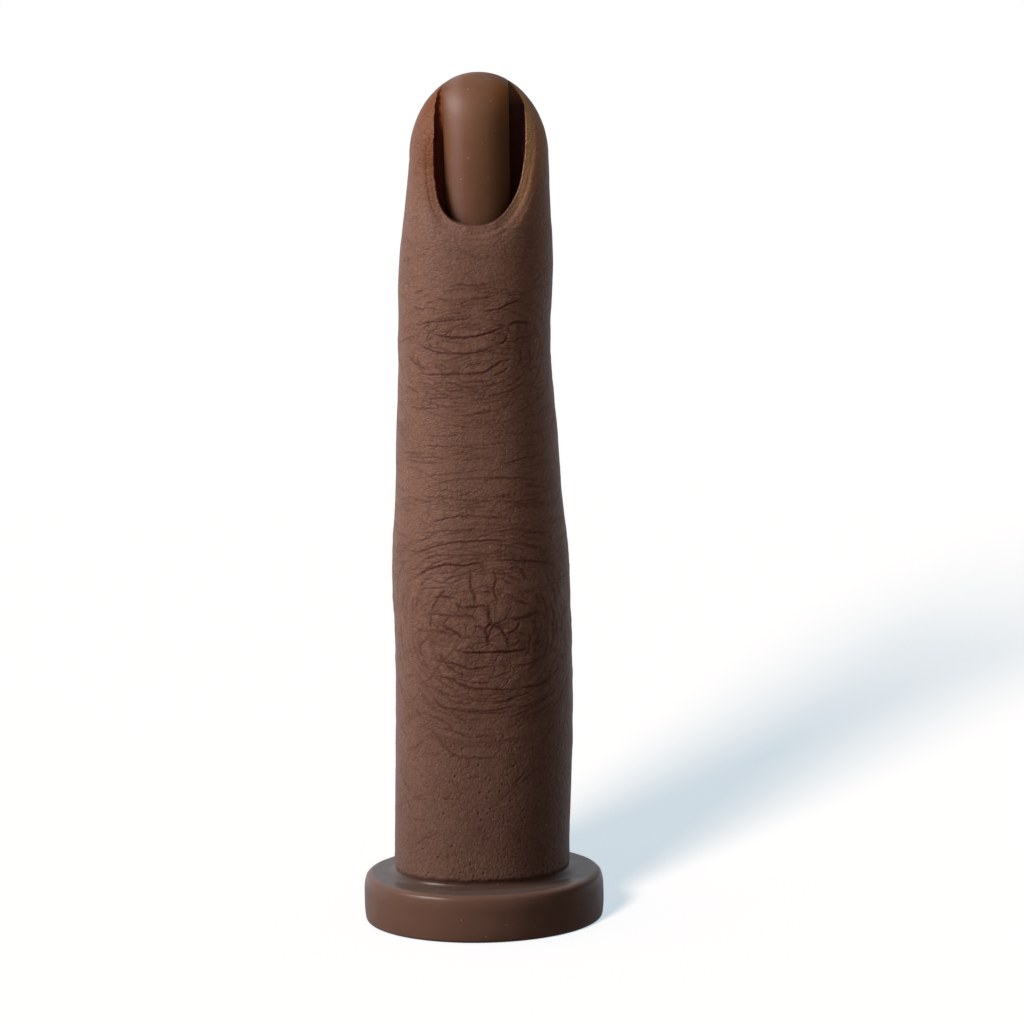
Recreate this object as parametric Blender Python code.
"""Nail practice finger.

A silicone finger on a round foot, moulded over a nylon skeleton that bends at the knuckle and at the
tip joint. A practice nail slides over the crowned nail bed, under the folds of the nail slot.

The origin is the centre of the foot's underside. +Z is up, -Y is the nail side and +Y the palm side.
The finger stands straight at rest. Each hinge turns about a line along X.
"""

import collections
import math

import bmesh
import bpy
from mathutils import Matrix, Vector

MM = 0.001
FULL_TURN = 2 * math.pi
QUARTER_TURN = math.pi / 2

# The whole finger
FINGER_HEIGHT = 90.0 * MM
FOOT_DIAMETER = 25.0 * MM
FOOT_HEIGHT = 5.0 * MM
FOOT_TOP_ROUNDING = 0.7 * MM
FOOT_BOTTOM_ROUNDING = 0.4 * MM
FOOT_FILLET = 1.0 * MM

# The two hinges, measured down from the tip, and how far they bend
FINGERTIP_LENGTH = 27.5 * MM
MIDDLE_LENGTH = 27.5 * MM
KNUCKLE_FLEXION = math.radians(70)
TIP_JOINT_FLEXION = math.radians(50)

# The skin's sections at the foot, the two joints and the start of the rounded tip
BASE_BREADTH = 18.25 * MM
BASE_DORSAL_DEPTH = 9.0 * MM
BASE_PALM_DEPTH = 9.1 * MM
KNUCKLE_BREADTH = 18.5 * MM
KNUCKLE_DORSAL_DEPTH = 9.0 * MM
KNUCKLE_PALM_DEPTH = 8.3 * MM
TIP_JOINT_BREADTH = 15.9 * MM
TIP_JOINT_DORSAL_DEPTH = 7.1 * MM
TIP_JOINT_PALM_DEPTH = 7.0 * MM
NAIL_BREADTH = 14.5 * MM
NAIL_DORSAL_DEPTH = 5.8 * MM
NAIL_PALM_DEPTH = 6.8 * MM
TIP_CAP_HEIGHT = 9.0 * MM
KNUCKLE_LEAN = 0.4 * MM
TIP_JOINT_LEAN = 0.2 * MM
TIP_LEAN = 1.1 * MM
DORSAL_SQUARENESS = 2.3
PALM_SQUARENESS = 2.1

# Between two of those sections the skin follows a straight line, times these shares of it.
# A row is the height share, then the shares of the breadth, the dorsal depth and the palm depth.
LOWER_SWELL_SHARES = (
    (0.12, 0.994, 0.990, 1.00),
    (0.50, 1.004, 0.970, 1.07),
    (0.80, 0.998, 0.975, 1.05),
)
MIDDLE_SWELL_SHARES = (
    (0.15, 1.015, 0.990, 1.03),
    (0.38, 0.990, 0.970, 1.10),
    (0.61, 0.994, 0.970, 1.11),
    (0.84, 0.982, 0.985, 1.05),
)
TIP_SWELL_SHARES = (
    (0.11, 1.010, 1.000, 1.02),
    (0.30, 1.039, 1.010, 1.06),
    (0.50, 1.043, 1.015, 1.09),
    (0.73, 1.017, 1.015, 1.06),
)

# The flexing bands of skin, measured on the nail side, and the seams beside them
KNUCKLE_BAND = 2.4 * MM
TIP_JOINT_BAND = 2.2 * MM
SEAM_GAP = 0.3 * MM

# The nail slot and the nail bed
NAIL_LENGTH = 14.6 * MM
SLOT_WIDTH = 9.8 * MM
SLOT_ROOT_HEIGHT = 6.2 * MM
SLOT_FLOOR_DEPTH = 2.6 * MM
SLOT_UNDERCUT = 0.5 * MM
SLOT_SQUARENESS = 2.2
FOLD_OVERHANG = 2.0 * MM
NAIL_CLEARANCE = 0.8 * MM
BED_WIDTH = 7.2 * MM
BED_ROOT_HEIGHT = 5.0 * MM
BED_ROOT_DEPTH = 4.5 * MM
BED_CROWN_DEPTH = 4.9 * MM
BED_CROWN_RADIUS = 5.0 * MM
BED_TIP_INSET = 0.1 * MM
BED_PEG_RADIUS = 1.2 * MM
BED_PEG_DROP = 11.0 * MM
BED_PEG_REACH = 1.4 * MM

# The bones
KNUCKLE_SHAFT_DEPTH = 6.0 * MM
TIP_JOINT_SHAFT_DEPTH = 4.8 * MM
BONE_SQUARENESS = 3.6
RIB_HEIGHT = 0.3 * MM
RIB_LENGTH = 1.4 * MM
RIB_RAMP = 0.3 * MM
LOWER_RIBS = 3
MIDDLE_RIBS = 2
FLANGE_RADIUS = 6.0 * MM
FLANGE_HEIGHT = 1.4 * MM
FLANGE_CHAMFER = 0.3 * MM
WAIST_BREADTH = 4.6 * MM
WAIST_DEPTH = 3.4 * MM
TUFT_BREADTH = 6.2 * MM
TUFT_DEPTH = 3.2 * MM
TUFT_DROP = 5.6 * MM
TUFT_SETBACK = 0.5 * MM
# The fingertip bone's outline: shares of its height, then of the breadth and depth named in the row
SHOULDER_SHARE = 0.10
WAIST_SHARES = ((0.28, 1.0, 1.0), (0.42, 1.0, 1.0))
TUFT_SHARES = ((0.62, 0.93, 1.0), (0.80, 1.0, 1.0), (0.94, 0.85, 0.85), (1.0, 0.55, 0.5))
BONE_EDGE_ROUNDING = 0.25 * MM
FORK_LEDGE = 0.15 * MM

# Clearances
MOULD_GAP = 0.3 * MM
SEAT_GAP = 0.3 * MM
RUNNING_GAP = 0.15 * MM
STACK_GAP = 0.15 * MM
SHOULDER_CLEARANCE = 0.5 * MM
TONGUE_CLEARANCE = 0.4 * MM
CHAMBER_CLEARANCE = 0.4 * MM
FORK_SINK = 0.2 * MM

# The knuckle hinge
KNUCKLE_EYE_RADIUS = 3.8 * MM
KNUCKLE_TONGUE_WIDTH = 3.0 * MM
KNUCKLE_EAR_WIDTH = 1.95 * MM
KNUCKLE_PIN_RADIUS = 1.0 * MM
KNUCKLE_HEAD_RADIUS = 2.0 * MM
KNUCKLE_HEAD_HEIGHT = 1.3 * MM
KNUCKLE_NUT_FLATS = 4.0 * MM
KNUCKLE_NUT_HEIGHT = 1.3 * MM

# The tip joint hinge
TIP_JOINT_EYE_RADIUS = 3.1 * MM
TIP_JOINT_TONGUE_WIDTH = 2.4 * MM
TIP_JOINT_EAR_WIDTH = 1.65 * MM
TIP_JOINT_PIN_RADIUS = 0.8 * MM
TIP_JOINT_HEAD_RADIUS = 1.6 * MM
TIP_JOINT_HEAD_HEIGHT = 1.0 * MM
TIP_JOINT_NUT_FLATS = 3.2 * MM
TIP_JOINT_NUT_HEIGHT = 1.0 * MM

# What both hinges share
EYE_BOSS_HEIGHT = 0.3 * MM
EYE_BOSS_MARGIN = 0.4 * MM
WASHER_THICKNESS = 0.3 * MM
WASHER_CONE = 0.2 * MM
NUT_COLLAR_HEIGHT = 0.5 * MM
NUT_COLLAR_WALL = 0.6 * MM
PIN_END_REACH = 0.4 * MM
PIN_END_CHAMFER = 0.2 * MM
DRIVE_WIDTH = 0.5 * MM
DRIVE_DEPTH = 0.6 * MM
DRIVE_MARGIN = 0.5 * MM

# The foot plate and its screw
PLATE_RADIUS = 9.8 * MM
PLATE_THICKNESS = 1.8 * MM
PLATE_RECESS = 0.4 * MM
PLATE_CHAMFER = 0.3 * MM
PLATE_RIM_WIDTH = 1.6 * MM
PLATE_RIM_DROP = 0.4 * MM
FOOT_SCREW_RADIUS = 1.1 * MM
FOOT_SCREW_HEAD_RADIUS = 2.3 * MM
FOOT_SCREW_LENGTH = 12.0 * MM
FOOT_SCREW_HEAD_SINK = 0.2 * MM
FOOT_SCREW_POINT = 0.8 * MM

# Facets
SKIN_SIDES = 48
BONE_SIDES = 24
TURNED_SIDES = 20
FOOT_PLATE_SIDES = 40
ARC_STEPS = 10
RIM_STEPS = 3
FILLET_STEPS = 4
DOME_STEPS = 3
CROWN_STEPS = 4
SKIN_RING_SPACING = 3.0 * MM
CAP_RINGS = 7
CUT_OVERRUN = 1.0 * MM
POLE_SHARE = 0.001
SMOOTH_ANGLE = math.radians(35)

# Sizes that follow from those above
TIP_JOINT_LEVEL = FINGER_HEIGHT - FINGERTIP_LENGTH
KNUCKLE_LEVEL = TIP_JOINT_LEVEL - MIDDLE_LENGTH
FOOT_RADIUS = FOOT_DIAMETER / 2
CAP_LEVEL = FINGER_HEIGHT - TIP_CAP_HEIGHT
FOLD_LEVEL = FINGER_HEIGHT - NAIL_LENGTH
REACH = FOOT_RADIUS + CUT_OVERRUN
PLATE_TOP = PLATE_RECESS + PLATE_THICKNESS
BONE_FOOT_LEVEL = PLATE_TOP + SEAT_GAP

Hinge = collections.namedtuple(
    "Hinge",
    "level eye_radius tongue_width ear_width shaft_depth"
    " pin_radius head_radius head_height nut_flats nut_height",
)

KNUCKLE = Hinge(
    KNUCKLE_LEVEL,
    KNUCKLE_EYE_RADIUS,
    KNUCKLE_TONGUE_WIDTH,
    KNUCKLE_EAR_WIDTH,
    KNUCKLE_SHAFT_DEPTH,
    KNUCKLE_PIN_RADIUS,
    KNUCKLE_HEAD_RADIUS,
    KNUCKLE_HEAD_HEIGHT,
    KNUCKLE_NUT_FLATS,
    KNUCKLE_NUT_HEIGHT,
)
TIP_JOINT = Hinge(
    TIP_JOINT_LEVEL,
    TIP_JOINT_EYE_RADIUS,
    TIP_JOINT_TONGUE_WIDTH,
    TIP_JOINT_EAR_WIDTH,
    TIP_JOINT_SHAFT_DEPTH,
    TIP_JOINT_PIN_RADIUS,
    TIP_JOINT_HEAD_RADIUS,
    TIP_JOINT_HEAD_HEIGHT,
    TIP_JOINT_NUT_FLATS,
    TIP_JOINT_NUT_HEIGHT,
)

Z_TO_X = Matrix.Rotation(QUARTER_TURN, 4, "Y")
Z_TO_Y = Matrix.Rotation(-QUARTER_TURN, 4, "X")


def clear_scene():
    for obj in list(bpy.data.objects):
        bpy.data.objects.remove(obj)


def finish_material(name, colour, roughness, metallic=0.0):
    material = bpy.data.materials.new(name)
    material.use_nodes = True
    shader = material.node_tree.nodes["Principled BSDF"]
    shader.inputs["Base Color"].default_value = (*colour, 1.0)
    shader.inputs["Roughness"].default_value = roughness
    shader.inputs["Metallic"].default_value = metallic
    return material


# Making solids


def solid(name, mesh_builder, material=None):
    """An object from a finished bmesh, its faces turned outwards and its round sides shaded smooth."""
    bmesh.ops.recalc_face_normals(mesh_builder, faces=mesh_builder.faces)
    mesh = bpy.data.meshes.new(name)
    mesh_builder.to_mesh(mesh)
    mesh_builder.free()
    if material:
        mesh.materials.append(material)
    mesh.shade_smooth()
    mesh.set_sharp_from_angle(angle=SMOOTH_ANGLE)
    obj = bpy.data.objects.new(name, mesh)
    bpy.context.scene.collection.objects.link(obj)
    return obj


def lofted(name, sections, material=None):
    """A closed skin through rings of points that have the same number of points."""
    work = bmesh.new()
    place = work.verts.layers.int.new("place")
    ring = bmesh.ops.create_circle(work, cap_ends=True, radius=1, segments=len(sections[0]))["verts"]
    for index, vert in enumerate(ring):
        vert[place] = index
        vert.co = sections[0][index]
    edges = list(work.edges)
    for section in sections[1:]:
        grown = bmesh.ops.extrude_edge_only(work, edges=edges)["geom"]
        edges = [item for item in grown if isinstance(item, bmesh.types.BMEdge)]
        verts = [item for item in grown if isinstance(item, bmesh.types.BMVert)]
        edges = [edge for edge in edges if edge.verts[0] in verts and edge.verts[1] in verts]
        for vert in verts:
            vert.co = section[vert[place]]
    bmesh.ops.edgeloop_fill(work, edges=edges)
    return solid(name, work, material)


def circle_points(radius, level, sides):
    angles = [FULL_TURN * i / sides for i in range(sides)]
    return [Vector((radius * math.cos(angle), radius * math.sin(angle), level)) for angle in angles]


def turned(name, profile, sides=TURNED_SIDES, material=None):
    """A turned solid about Z. The profile holds (radius, level) points.

    It runs from the axis to the axis, or it is a closed outline beside the axis."""
    work = bmesh.new()
    verts = [work.verts.new((radius, 0, level)) for radius, level in profile]
    pairs = list(zip(verts, verts[1:]))
    if profile[0][0] > 0:
        pairs.append((verts[-1], verts[0]))
    edges = [work.edges.new(pair) for pair in pairs]
    bmesh.ops.spin(
        work,
        geom=verts + edges,
        cent=(0, 0, 0),
        axis=(0, 0, 1),
        angle=FULL_TURN,
        steps=sides,
        use_merge=True,
    )
    widest = max(radius for radius, level in profile)
    bmesh.ops.remove_doubles(work, verts=work.verts, dist=widest * POLE_SHARE)
    return solid(name, work, material)


def round_bar(name, radius, low, high, sides=TURNED_SIDES):
    return turned(name, [(0, low), (radius, low), (radius, high), (0, high)], sides)


def prism(name, outline, low, high, axis="Z", material=None, rounding=0):
    """An outline pulled straight from low to high along an axis, its outer edges rounded if asked."""
    work = bmesh.new()
    stand = {
        "X": lambda a, b, c: (c, a, b),
        "Y": lambda a, b, c: (a, c, b),
        "Z": lambda a, b, c: (a, b, c),
    }[axis]
    face = work.faces.new([work.verts.new(stand(a, b, low)) for a, b in outline])
    grown = bmesh.ops.extrude_face_region(work, geom=[face])["geom"]
    moved = [item for item in grown if isinstance(item, bmesh.types.BMVert)]
    bmesh.ops.translate(work, verts=moved, vec=Vector(stand(0, 0, high - low)))
    if rounding:
        ends = [face for face in work.faces if len(face.verts) == len(outline)]
        rims = {edge for end in ends for edge in end.edges}
        bmesh.ops.bevel(
            work, geom=list(rims), offset=rounding, affect="EDGES", segments=1, profile=0.5, material=-1
        )
    return solid(name, work, material)


def box_outline(half_a, low_b, high_b):
    return [(-half_a, low_b), (half_a, low_b), (half_a, high_b), (-half_a, high_b)]


def placed(obj, matrix):
    """Moves a solid by moving its mesh, so that the object itself stays at the origin."""
    obj.data.transform(matrix)
    return obj


def at(x, y, z):
    return Matrix.Translation((x, y, z))


def shaped_by(obj, helpers, operation):
    """Cuts, joins or keeps by other solids, all in one step. They become hidden helpers."""
    group = bpy.data.collections.new(f"{obj.name}_{operation.lower()}")
    for helper in helpers:
        group.objects.link(helper)
        helper.hide_render = True
        helper.display_type = "WIRE"
    step = obj.modifiers.new(operation.lower(), "BOOLEAN")
    step.operation = operation
    step.solver = "EXACT"
    step.operand_type = "COLLECTION"
    step.collection = group
    return obj


def cut(obj, *cutters):
    return shaped_by(obj, cutters, "DIFFERENCE")


def join(obj, *pieces):
    return shaped_by(obj, pieces, "UNION")


def keep(obj, shape):
    return shaped_by(obj, [shape], "INTERSECT")


# The skin's outer form


def between(low, high, share):
    return low + (high - low) * share


def skin_stations():
    """Level, breadth, dorsal depth, palm depth and lean, from the foot to the start of the rounded tip."""
    base = (FOOT_HEIGHT, BASE_BREADTH, BASE_DORSAL_DEPTH, BASE_PALM_DEPTH, 0.0)
    knuckle = (KNUCKLE_LEVEL, KNUCKLE_BREADTH, KNUCKLE_DORSAL_DEPTH, KNUCKLE_PALM_DEPTH, KNUCKLE_LEAN)
    tip_joint = (
        TIP_JOINT_LEVEL,
        TIP_JOINT_BREADTH,
        TIP_JOINT_DORSAL_DEPTH,
        TIP_JOINT_PALM_DEPTH,
        TIP_JOINT_LEAN,
    )
    nail = (CAP_LEVEL, NAIL_BREADTH, NAIL_DORSAL_DEPTH, NAIL_PALM_DEPTH, TIP_LEAN)
    stations = [base]
    for low, high, swells in (
        (base, knuckle, LOWER_SWELL_SHARES),
        (knuckle, tip_joint, MIDDLE_SWELL_SHARES),
        (tip_joint, nail, TIP_SWELL_SHARES),
    ):
        for height_share, *size_shares in swells:
            line = [between(a, b, height_share) for a, b in zip(low, high)]
            sizes = [size * share for size, share in zip(line[1:4], size_shares)]
            stations.append((line[0], *sizes, line[4]))
        stations.append(high)
    return stations


STATIONS = skin_stations()


def skin_sizes(level):
    """Breadth, dorsal depth, palm depth and lean at a level, on a smooth curve through the stations."""
    if level >= CAP_LEVEL:
        rise = min((level - CAP_LEVEL) / TIP_CAP_HEIGHT, 1.0)
        shrink = math.sqrt(1 - rise * rise)
        return [size * shrink for size in STATIONS[-1][1:4]] + [TIP_LEAN]
    last = len(STATIONS) - 2
    index = next((i for i in range(last) if level < STATIONS[i + 1][0]), last)
    low, high = STATIONS[index], STATIONS[index + 1]
    before = STATIONS[max(index - 1, 0)]
    after = STATIONS[min(index + 2, len(STATIONS) - 1)]
    span = high[0] - low[0]
    t = (level - low[0]) / span
    sizes = []
    for k in range(1, 5):
        slope_in = (high[k] - before[k]) / (high[0] - before[0]) * span
        slope_out = (after[k] - low[k]) / (after[0] - low[0]) * span
        start = (2 * t**3 - 3 * t**2 + 1) * low[k] + (t**3 - 2 * t**2 + t) * slope_in
        end = (3 * t**2 - 2 * t**3) * high[k] + (t**3 - t**2) * slope_out
        sizes.append(start + end)
    return sizes


def rounded_square(cosine, sine, squareness):
    """A point of the unit curve that lies between a circle, at 2, and a square."""
    power = 2 / squareness
    return math.copysign(abs(cosine) ** power, cosine), math.copysign(abs(sine) ** power, sine)


def skin_ring(level, outset=0.0, height=None):
    """The skin's section at a level, grown by an outset and drawn at another height if given."""
    breadth, dorsal, palm, lean = skin_sizes(level)
    points = []
    for i in range(SKIN_SIDES):
        angle = FULL_TURN * i / SKIN_SIDES
        on_palm = math.sin(angle) >= 0
        squareness = PALM_SQUARENESS if on_palm else DORSAL_SQUARENESS
        x, y = rounded_square(math.cos(angle), math.sin(angle), squareness)
        depth = (palm if on_palm else dorsal) + outset
        z = level if height is None else height
        points.append(Vector((lean + x * (breadth / 2 + outset), y * depth, z)))
    return points


def foot_rings():
    """The foot from its underside up, over its rounded rim, and the fillet up into the finger."""
    rings = []
    for i in range(RIM_STEPS):
        angle = QUARTER_TURN * i / (RIM_STEPS - 1)
        radius = FOOT_RADIUS - FOOT_BOTTOM_ROUNDING * (1 - math.sin(angle))
        rings.append(circle_points(radius, FOOT_BOTTOM_ROUNDING * (1 - math.cos(angle)), SKIN_SIDES))
    for i in range(RIM_STEPS + 1):
        angle = QUARTER_TURN * i / RIM_STEPS
        radius = FOOT_RADIUS - FOOT_TOP_ROUNDING * (1 - math.cos(angle))
        level = FOOT_HEIGHT - FOOT_TOP_ROUNDING * (1 - math.sin(angle))
        rings.append(circle_points(radius, level, SKIN_SIDES))
    for i in range(FILLET_STEPS):
        angle = QUARTER_TURN * i / FILLET_STEPS
        outset = FOOT_FILLET * (1 - math.sin(angle))
        level = FOOT_HEIGHT + FOOT_FILLET * (1 - math.cos(angle))
        rings.append(skin_ring(level, outset))
    return rings


def finger_rings():
    """The finger from the top of the fillet to the start of the cap, and the cap itself."""
    foot_end = FOOT_HEIGHT + FOOT_FILLET
    count = math.ceil((CAP_LEVEL - foot_end) / SKIN_RING_SPACING)
    rings = [skin_ring(between(foot_end, CAP_LEVEL, i / count)) for i in range(count)]
    for i in range(CAP_RINGS):
        rings.append(skin_ring(CAP_LEVEL + TIP_CAP_HEIGHT * math.sin(QUARTER_TURN * i / CAP_RINGS)))
    rings.append(skin_ring(FINGER_HEIGHT - TIP_CAP_HEIGHT * POLE_SHARE**2, height=FINGER_HEIGHT))
    return rings


def whole_skin(name, material):
    return lofted(name, foot_rings() + finger_rings(), material)


# The zones of the skin


def fold_line(level, band, flexion, side, gap=0.0):
    """Where a stiff zone ends beside a hinge: level on the nail side, sloping away on the palm side."""
    half_angle = flexion / 2
    start = gap * (1 / math.cos(half_angle) - 1) / math.tan(half_angle)
    rise = band / 2 - gap
    slope = rise + (REACH - start) * math.tan(half_angle)
    return [(-REACH, level + side * rise), (start, level + side * rise), (REACH, level + side * slope)]


def stiff_zone(name, low_line, high_line):
    return prism(name, low_line + high_line[::-1], -REACH, REACH, axis="X")


def flex_zone(name, level, band, flexion):
    low = fold_line(level, band, flexion, -1, SEAM_GAP)
    high = fold_line(level, band, flexion, 1, SEAM_GAP)
    return prism(name, low + high[::-1], -REACH, REACH, axis="X")


# Hinge sizes that several pieces share


def fork_half_width(hinge):
    return hinge.tongue_width / 2 + RUNNING_GAP + hinge.ear_width


def shaft_halves(hinge):
    """Half the breadth and half the depth of a shaft beside its fork, which stands a ledge proud of it."""
    return fork_half_width(hinge) - FORK_LEDGE, hinge.shaft_depth / 2 - FORK_LEDGE


def tongue_radius(hinge):
    return hinge.eye_radius - FORK_SINK


def slot_floor(hinge):
    return tongue_radius(hinge) + TONGUE_CLEARANCE


def shoulder(hinge):
    return hinge.eye_radius + SHOULDER_CLEARANCE


def fork_foot(hinge):
    return shoulder(hinge) + FORK_SINK


def stack_start(hinge):
    return fork_half_width(hinge) + EYE_BOSS_HEIGHT + STACK_GAP


def nut_start(hinge):
    return stack_start(hinge) + WASHER_THICKNESS + WASHER_CONE + STACK_GAP


def nut_end(hinge):
    return nut_start(hinge) + hinge.nut_height + NUT_COLLAR_HEIGHT


def nut_corner(hinge):
    return hinge.nut_flats / math.sqrt(3)


def hinge_chamber(name, hinge):
    """The room in the skin that the eyes, the shoulders and the screw, washer and nut turn in."""
    core = fork_half_width(hinge) + EYE_BOSS_HEIGHT + MOULD_GAP
    core_radius = math.hypot(fork_foot(hinge), hinge.shaft_depth / 2) + CHAMBER_CLEARANCE
    ends = nut_end(hinge) + PIN_END_REACH + MOULD_GAP
    end_radius = max(nut_corner(hinge), hinge.head_radius) + CHAMBER_CLEARANCE
    profile = [(0, -ends), (end_radius, -ends), (end_radius, -core), (core_radius, -core)]
    profile += [(radius, -level) for radius, level in profile[::-1]]
    return placed(turned(name, profile), at(0, 0, hinge.level) @ Z_TO_X)


# Bones


def bone_ring(half_x, half_y, level, centre_y=0.0, squareness=BONE_SQUARENESS):
    points = []
    for i in range(BONE_SIDES):
        angle = FULL_TURN * i / BONE_SIDES
        x, y = rounded_square(math.cos(angle), math.sin(angle), squareness)
        points.append(Vector((x * half_x, centre_y + y * half_y, level)))
    return points


def bone_loft(name, rows, grow=0.0):
    """A bone's shaft, or with grow the room that the skin leaves for it."""
    rings = []
    for index, (level, half_x, half_y, *rest) in enumerate(rows):
        end = {0: -grow, len(rows) - 1: grow}.get(index, 0.0)
        rings.append(bone_ring(half_x + grow, half_y + grow, level + end, *rest))
    return lofted(name, rings)


def ribbed_rows(low, high, low_half, high_half, ribs):
    """Rows of a tapering shaft whose grip ribs stand at its full size, with lower stretches between."""
    rows = []
    pitch = (high - low - RIB_LENGTH) / ribs
    for i in range(ribs + 1):
        start = low + i * pitch
        marks = ((start, 0.0), (start + RIB_LENGTH, 0.0))
        marks += ((start + RIB_LENGTH + RIB_RAMP, RIB_HEIGHT), (start + pitch - RIB_RAMP, RIB_HEIGHT))
        for level, sink in marks if i < ribs else marks[:2]:
            share = (level - low) / (high - low)
            halves = [between(a, b, share) - sink for a, b in zip(low_half, high_half)]
            rows.append((level, *halves))
    return rows


def lower_bone_rows():
    top = KNUCKLE.level - slot_floor(KNUCKLE) - FORK_SINK
    flange_top = BONE_FOOT_LEVEL + FLANGE_HEIGHT
    inner = FLANGE_RADIUS - FLANGE_CHAMFER
    half = shaft_halves(KNUCKLE)
    rows = [
        (BONE_FOOT_LEVEL, inner, inner, 0.0, 2.0),
        (BONE_FOOT_LEVEL + FLANGE_CHAMFER, FLANGE_RADIUS, FLANGE_RADIUS, 0.0, 2.0),
        (flange_top - FLANGE_CHAMFER, FLANGE_RADIUS, FLANGE_RADIUS, 0.0, 2.0),
        (flange_top, inner, inner, 0.0, 2.0),
    ]
    return rows + ribbed_rows(flange_top + FLANGE_CHAMFER, top, half, half, LOWER_RIBS)


def middle_bone_rows():
    bottom = KNUCKLE.level + shoulder(KNUCKLE)
    top = TIP_JOINT.level - slot_floor(TIP_JOINT) - FORK_SINK
    return ribbed_rows(bottom, top, shaft_halves(KNUCKLE), shaft_halves(TIP_JOINT), MIDDLE_RIBS)


def fingertip_bone_rows():
    """From the tongue's shoulders over a waist to the flat tuft under the nail bed."""
    bottom = TIP_JOINT.level + shoulder(TIP_JOINT)
    length = FINGER_HEIGHT - TUFT_DROP - bottom
    shoulders = shaft_halves(TIP_JOINT)
    rows = [(bottom, *shoulders, 0.0), (bottom + length * SHOULDER_SHARE, *shoulders, 0.0)]
    for shares, breadth, depth in (
        (WAIST_SHARES, WAIST_BREADTH, WAIST_DEPTH),
        (TUFT_SHARES, TUFT_BREADTH, TUFT_DEPTH),
    ):
        for height_share, breadth_share, depth_share in shares:
            halves = (breadth / 2 * breadth_share, depth / 2 * depth_share)
            rows.append((bottom + length * height_share, *halves, TUFT_SETBACK))
    return rows


def eye_outline(radius, foot, half_foot, side):
    """A round eye about the hinge that runs down, or up, to a straight foot."""
    angles = [math.pi * i / ARC_STEPS for i in range(ARC_STEPS + 1)]
    arc = [(radius * math.cos(angle), side * radius * math.sin(angle)) for angle in angles]
    return arc + [(-half_foot, -side * foot), (half_foot, -side * foot)]


def hinge_fork(name, hinge):
    """The two ears as one block with a boss on each side, before the slot is cut."""
    outline = eye_outline(hinge.eye_radius, fork_foot(hinge), hinge.shaft_depth / 2, 1)
    half = fork_half_width(hinge)
    block = prism(name, outline, -half, half, axis="X", rounding=BONE_EDGE_ROUNDING)
    boss_radius = max(nut_corner(hinge), hinge.head_radius) + EYE_BOSS_MARGIN
    reach = half + EYE_BOSS_HEIGHT
    bosses = round_bar(name + "_bosses", boss_radius, -reach, reach)
    return placed(block, at(0, 0, hinge.level)), placed(bosses, at(0, 0, hinge.level) @ Z_TO_X)


def fork_slot(name, hinge):
    outline = box_outline(REACH, -slot_floor(hinge), hinge.eye_radius + CUT_OVERRUN)
    half = hinge.tongue_width / 2 + RUNNING_GAP
    return placed(prism(name, outline, -half, half, axis="X"), at(0, 0, hinge.level))


def hinge_tongue(name, hinge):
    root = shoulder(hinge) + CUT_OVERRUN
    half_root = shaft_halves(hinge)[1] - RIB_HEIGHT
    outline = eye_outline(tongue_radius(hinge), root, half_root, -1)
    half = hinge.tongue_width / 2
    tongue = prism(name, outline, -half, half, axis="X", rounding=BONE_EDGE_ROUNDING)
    return placed(tongue, at(0, 0, hinge.level))


def pin_hole(name, hinge):
    reach = fork_half_width(hinge) + EYE_BOSS_HEIGHT + CUT_OVERRUN
    radius = hinge.pin_radius + RUNNING_GAP
    return placed(round_bar(name, radius, -reach, reach), at(0, 0, hinge.level) @ Z_TO_X)


def lower_bone(material):
    bone = bone_loft("lower_bone", lower_bone_rows())
    bone.data.materials.append(material)
    join(bone, *hinge_fork("knuckle_fork", KNUCKLE))
    radius = FOOT_SCREW_RADIUS + RUNNING_GAP
    low = BONE_FOOT_LEVEL - CUT_OVERRUN
    high = PLATE_RECESS + FOOT_SCREW_HEAD_SINK + FOOT_SCREW_LENGTH + SEAT_GAP
    pilot = turned("foot_screw_pilot", [(0, low), (radius, low), (radius, high), (0, high + radius)])
    cut(bone, fork_slot("knuckle_fork_slot", KNUCKLE), pin_hole("knuckle_fork_hole", KNUCKLE), pilot)
    return bone


def middle_bone(material):
    bone = bone_loft("middle_bone", middle_bone_rows())
    bone.data.materials.append(material)
    join(bone, hinge_tongue("knuckle_tongue", KNUCKLE), *hinge_fork("tip_joint_fork", TIP_JOINT))
    cut(
        bone,
        fork_slot("tip_joint_fork_slot", TIP_JOINT),
        pin_hole("tip_joint_fork_hole", TIP_JOINT),
        pin_hole("knuckle_tongue_hole", KNUCKLE),
    )
    return bone


def fingertip_bone(material):
    bone = bone_loft("fingertip_bone", fingertip_bone_rows())
    bone.data.materials.append(material)
    join(bone, hinge_tongue("tip_joint_tongue", TIP_JOINT))
    socket = bed_peg("nail_bed_socket", RUNNING_GAP, BED_PEG_REACH)
    return cut(bone, pin_hole("tip_joint_tongue_hole", TIP_JOINT), socket)


# The nail slot and the nail bed


def tongue_outline(half_width, bottom, root_height, squareness):
    """A U in the plane of the nail: straight sides over a rounded root. It runs on past the fingertip."""
    top = FINGER_HEIGHT + CUT_OVERRUN
    points = [(TIP_LEAN + half_width, top)]
    steps = 2 * ARC_STEPS
    for i in range(steps + 1):
        angle = math.pi * i / steps
        x, z = rounded_square(math.cos(angle), math.sin(angle), squareness)
        points.append((TIP_LEAN + half_width * x, bottom + root_height * (1 - z)))
    points.append((TIP_LEAN - half_width, top))
    return points


def crown_depth(level):
    """How far the nail bed's ridge stands in front of the finger's middle plane."""
    root = FOLD_LEVEL - FOLD_OVERHANG
    dorsal = skin_sizes(level)[1]
    share = min(max((level - root) / (CAP_LEVEL - root), 0.0), 1.0)
    return min(between(BED_ROOT_DEPTH, BED_CROWN_DEPTH, share), dorsal - BED_TIP_INSET)


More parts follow.
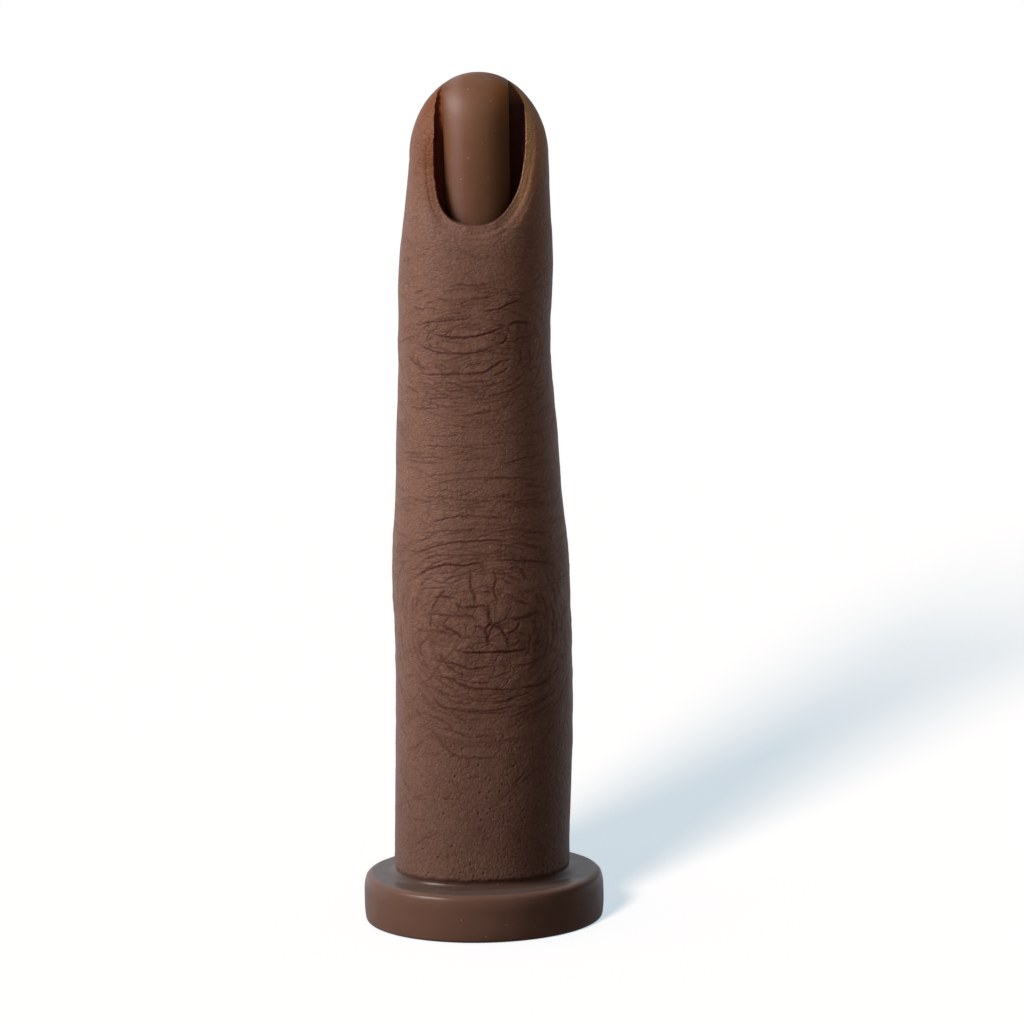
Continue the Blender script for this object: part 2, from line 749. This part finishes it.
def crown_ring(level, grow):
    """A section across the nail bed: an arc in front, straight sides and a straight back."""
    half_width = BED_WIDTH / 2 + (BED_CROWN_RADIUS - BED_WIDTH / 2) / 2
    ridge = crown_depth(level) + grow
    points = []
    for i in range(ARC_STEPS + 1):
        x = half_width * (2 * i / ARC_STEPS - 1)
        drop = BED_CROWN_RADIUS - math.sqrt(BED_CROWN_RADIUS**2 - x**2)
        points.append(Vector((TIP_LEAN + x * (1 + grow / half_width), drop - ridge, level)))
    back = NAIL_PALM_DEPTH / 2
    points.append(Vector((TIP_LEAN + half_width + grow, back, level)))
    points.append(Vector((TIP_LEAN - half_width - grow, back, level)))
    return points


def crown_body(name, grow=0.0):
    root = FOLD_LEVEL - FOLD_OVERHANG - CUT_OVERRUN
    levels = [between(root, CAP_LEVEL, i / CROWN_STEPS) for i in range(CROWN_STEPS)]
    top_turn = math.acos(SLOT_FLOOR_DEPTH / NAIL_DORSAL_DEPTH)
    turns = [top_turn * i / CAP_RINGS for i in range(CAP_RINGS + 1)]
    levels += [CAP_LEVEL + TIP_CAP_HEIGHT * math.sin(turn) for turn in turns]
    return lofted(name, [crown_ring(level, grow) for level in levels])


def bed_peg(name, grow, reach):
    level = FINGER_HEIGHT - BED_PEG_DROP
    radius = BED_PEG_RADIUS + grow
    front = SLOT_FLOOR_DEPTH + SEAT_GAP + CUT_OVERRUN
    back = reach + grow
    return placed(round_bar(name, radius, -front, back), at(0, 0, level) @ Z_TO_Y)


def nail_bed(material):
    """A crowned tongue that stands on the slot's floor, with a peg into the fingertip bone."""
    outline = tongue_outline(BED_WIDTH / 2, FOLD_LEVEL - FOLD_OVERHANG, BED_ROOT_HEIGHT, SLOT_SQUARENESS)
    back = SLOT_FLOOR_DEPTH + SEAT_GAP
    bed = prism("nail_bed", outline, -NAIL_DORSAL_DEPTH - CUT_OVERRUN, -back, axis="Y", material=material)
    keep(bed, crown_body("nail_bed_crown"))
    return join(bed, bed_peg("nail_bed_peg", 0.0, BED_PEG_REACH - SEAT_GAP))


def nail_slot_cutters():
    """The open U in front of the nail bed, and the curved slot that runs on under the folds."""
    open_u = tongue_outline(SLOT_WIDTH / 2, FOLD_LEVEL, SLOT_ROOT_HEIGHT, SLOT_SQUARENESS)
    window = prism("nail_window", open_u, -REACH, -SLOT_FLOOR_DEPTH, axis="Y")
    bottom = FOLD_LEVEL - FOLD_OVERHANG - SEAT_GAP
    root_height = SLOT_ROOT_HEIGHT + SLOT_UNDERCUT
    under_u = tongue_outline(SLOT_WIDTH / 2 + SLOT_UNDERCUT, bottom, root_height, SLOT_SQUARENESS)
    undercut = prism("nail_undercut", under_u, -REACH, -SLOT_FLOOR_DEPTH, axis="Y")
    keep(undercut, crown_body("nail_undercut_crown", NAIL_CLEARANCE))
    return window, undercut, bed_peg("nail_bed_peg_room", MOULD_GAP, SLOT_FLOOR_DEPTH)


# Screws, washers and nuts


def cross_drive(name, radius, top):
    """The cutters of a cross recess in a screw head whose top faces down the axis."""
    half, arm = DRIVE_WIDTH / 2, radius - DRIVE_MARGIN
    outline = [(half, -arm), (half, -half), (arm, -half), (arm, half), (half, half), (half, arm)]
    outline += [(-a, -b) for a, b in outline]
    return prism(name, outline, top - CUT_OVERRUN, top + DRIVE_DEPTH)


def pivot_screw(name, hinge, material):
    """Its head rests on one ear's boss and its pin runs through the tongue to the lock nut."""
    seat = -stack_start(hinge)
    top = seat - hinge.head_height
    end = nut_end(hinge) + PIN_END_REACH
    dome = hinge.head_height / 2
    profile = [(0, top)]
    for i in range(1, DOME_STEPS + 1):
        angle = QUARTER_TURN * i / DOME_STEPS
        across = hinge.head_radius - dome * (1 - math.sin(angle))
        profile.append((across, top + dome * (1 - math.cos(angle))))
    profile += [(hinge.head_radius, seat), (hinge.pin_radius, seat)]
    profile += [(hinge.pin_radius, end - PIN_END_CHAMFER), (hinge.pin_radius - PIN_END_CHAMFER, end)]
    profile.append((0, end))
    upright = at(0, 0, hinge.level) @ Z_TO_X
    screw = placed(turned(name, profile, material=material), upright)
    return cut(screw, placed(cross_drive(name + "_drive", hinge.head_radius, top), upright))


def spring_washer(name, hinge, material):
    """A disc spring: a flat ring pressed into a low cone."""
    inner = hinge.pin_radius + RUNNING_GAP
    outer = nut_corner(hinge) - STACK_GAP
    low = stack_start(hinge)
    rise = low + WASHER_CONE
    top, top_rise = low + WASHER_THICKNESS, rise + WASHER_THICKNESS
    profile = [(inner, rise), (outer, low), (outer, top), (inner, top_rise)]
    return placed(turned(name, profile, material=material), at(0, 0, hinge.level) @ Z_TO_X)


def lock_nut(name, hinge, material):
    """A hexagon with the round collar that grips the pin's end."""
    low, high = nut_start(hinge), nut_start(hinge) + hinge.nut_height
    hexagon = [point.xy for point in circle_points(nut_corner(hinge), low, 6)]
    upright = at(0, 0, hinge.level) @ Z_TO_X
    nut = placed(prism(name, hexagon, low, high, material=material), upright)
    collar_radius = hinge.pin_radius + NUT_COLLAR_WALL
    end = nut_end(hinge)
    start = high - hinge.nut_height / 2
    collar = round_bar(name + "_collar", collar_radius, start, end)
    bore_radius = hinge.pin_radius + RUNNING_GAP
    bore = round_bar(name + "_bore", bore_radius, low - CUT_OVERRUN, end + CUT_OVERRUN)
    return cut(join(nut, placed(collar, upright)), placed(bore, upright))


def foot_plate(material):
    """A disc with a low rim below and a countersunk hole."""
    low, top = PLATE_RECESS, PLATE_TOP
    hole = FOOT_SCREW_RADIUS + RUNNING_GAP
    head = FOOT_SCREW_HEAD_RADIUS + RUNNING_GAP
    floor = low + PLATE_RIM_DROP
    sink = floor + head - hole
    rim = PLATE_RADIUS - PLATE_RIM_WIDTH
    profile = [
        (hole, top),
        (hole, sink),
        (head, floor),
        (rim - PLATE_RIM_DROP, floor),
        (rim, low),
        (PLATE_RADIUS - PLATE_CHAMFER, low),
        (PLATE_RADIUS, low + PLATE_CHAMFER),
        (PLATE_RADIUS, top - PLATE_CHAMFER),
        (PLATE_RADIUS - PLATE_CHAMFER, top),
    ]
    return turned("foot_plate", profile, FOOT_PLATE_SIDES, material)


def foot_screw(material):
    """Countersunk, so that its head lies in the plate."""
    top = PLATE_RECESS + PLATE_RIM_DROP + RUNNING_GAP
    sink = top + FOOT_SCREW_HEAD_RADIUS - FOOT_SCREW_RADIUS
    end = PLATE_RECESS + FOOT_SCREW_HEAD_SINK + FOOT_SCREW_LENGTH
    profile = [
        (0, top),
        (FOOT_SCREW_HEAD_RADIUS, top),
        (FOOT_SCREW_RADIUS, sink),
        (FOOT_SCREW_RADIUS, end - FOOT_SCREW_POINT),
        (0, end),
    ]
    screw = turned("foot_screw", profile, material=material)
    return cut(screw, cross_drive("foot_screw_drive", FOOT_SCREW_HEAD_RADIUS, top))


# The skin's pieces


def plate_recess():
    """The room under the foot that the plate goes into."""
    radius = PLATE_RADIUS + SEAT_GAP
    return round_bar("foot_plate_recess", radius, -CUT_OVERRUN, PLATE_TOP + SEAT_GAP, FOOT_PLATE_SIDES)


def lower_skin(material, chamber):
    skin = whole_skin("lower_skin_with_foot", material)
    floor = [(-REACH, -CUT_OVERRUN), (REACH, -CUT_OVERRUN)]
    top = fold_line(KNUCKLE_LEVEL, KNUCKLE_BAND, KNUCKLE_FLEXION, -1)
    keep(skin, stiff_zone("lower_zone", floor, top))
    room = bone_loft("lower_bone_room", lower_bone_rows(), MOULD_GAP)
    return cut(skin, chamber, room, plate_recess())


def middle_skin(material, knuckle_chamber, tip_joint_chamber):
    skin = whole_skin("middle_skin", material)
    low = fold_line(KNUCKLE_LEVEL, KNUCKLE_BAND, KNUCKLE_FLEXION, 1)
    high = fold_line(TIP_JOINT_LEVEL, TIP_JOINT_BAND, TIP_JOINT_FLEXION, -1)
    keep(skin, stiff_zone("middle_zone", low, high))
    room = bone_loft("middle_bone_room", middle_bone_rows(), MOULD_GAP)
    return cut(skin, knuckle_chamber, tip_joint_chamber, room)


def fingertip_skin(material, chamber):
    skin = whole_skin("fingertip_skin", material)
    low = fold_line(TIP_JOINT_LEVEL, TIP_JOINT_BAND, TIP_JOINT_FLEXION, 1)
    ceiling = [(-REACH, FINGER_HEIGHT + CUT_OVERRUN), (REACH, FINGER_HEIGHT + CUT_OVERRUN)]
    keep(skin, stiff_zone("fingertip_zone", low, ceiling))
    room = bone_loft("fingertip_bone_room", fingertip_bone_rows(), MOULD_GAP)
    return cut(skin, chamber, room, *nail_slot_cutters())


def flexing_skin(name, level, band, flexion, chamber, material):
    skin = whole_skin(name, material)
    keep(skin, flex_zone(name + "_zone", level, band, flexion))
    return cut(skin, chamber)


def axis_empty(name, level, parent=None):
    """An empty on a hinge's axis. Turning it about -X bends the finger."""
    empty = bpy.data.objects.new(name, None)
    bpy.context.scene.collection.objects.link(empty)
    empty.location = (0, 0, level - (parent.location.z if parent else 0))
    empty.empty_display_size = KNUCKLE_BREADTH
    empty.parent = parent
    return empty


def carry(empty, level, pieces):
    """Hangs pieces, and the helpers that shape them, on a hinge's empty without moving them."""
    waiting = list(pieces)
    while waiting:
        piece = waiting.pop()
        if piece.parent:
            continue
        piece.data.transform(at(0, 0, -level))
        piece.parent = empty
        for step in piece.modifiers:
            waiting += step.collection.objects


def build():
    clear_scene()
    silicone = finish_material("silicone_skin", (0.19, 0.105, 0.075), 0.62)
    bed_silicone = finish_material("nail_bed_silicone", (0.17, 0.092, 0.062), 0.42)
    nylon = finish_material("white_nylon", (0.78, 0.76, 0.70), 0.5)
    steel = finish_material("zinc_plated_steel", (0.55, 0.56, 0.58), 0.32, 1.0)

    lower_chamber = hinge_chamber("knuckle_chamber_below", KNUCKLE)
    knuckle_chamber = hinge_chamber("knuckle_chamber", KNUCKLE)
    upper_chamber = hinge_chamber("knuckle_chamber_above", KNUCKLE)
    tip_chamber_below = hinge_chamber("tip_joint_chamber_below", TIP_JOINT)
    tip_chamber = hinge_chamber("tip_joint_chamber", TIP_JOINT)
    tip_chamber_above = hinge_chamber("tip_joint_chamber_above", TIP_JOINT)

    lower_skin(silicone, lower_chamber)
    flexing_skin("knuckle_skin", KNUCKLE_LEVEL, KNUCKLE_BAND, KNUCKLE_FLEXION, knuckle_chamber, silicone)
    foot_plate(nylon)
    foot_screw(steel)
    lower_bone(nylon)
    pivot_screw("knuckle_pivot_screw", KNUCKLE, steel)
    spring_washer("knuckle_spring_washer", KNUCKLE, steel)
    lock_nut("knuckle_lock_nut", KNUCKLE, steel)

    knuckle_axis = axis_empty("knuckle_axis", KNUCKLE_LEVEL)
    middle_pieces = [
        middle_skin(silicone, upper_chamber, tip_chamber_below),
        flexing_skin(
            "tip_joint_skin", TIP_JOINT_LEVEL, TIP_JOINT_BAND, TIP_JOINT_FLEXION, tip_chamber, silicone
        ),
        middle_bone(nylon),
        pivot_screw("tip_joint_pivot_screw", TIP_JOINT, steel),
        spring_washer("tip_joint_spring_washer", TIP_JOINT, steel),
        lock_nut("tip_joint_lock_nut", TIP_JOINT, steel),
    ]
    carry(knuckle_axis, KNUCKLE_LEVEL, middle_pieces)

    tip_joint_axis = axis_empty("tip_joint_axis", TIP_JOINT_LEVEL, knuckle_axis)
    fingertip_pieces = [
        fingertip_skin(silicone, tip_chamber_above),
        fingertip_bone(nylon),
        nail_bed(bed_silicone),
    ]
    carry(tip_joint_axis, TIP_JOINT_LEVEL, fingertip_pieces)


build()
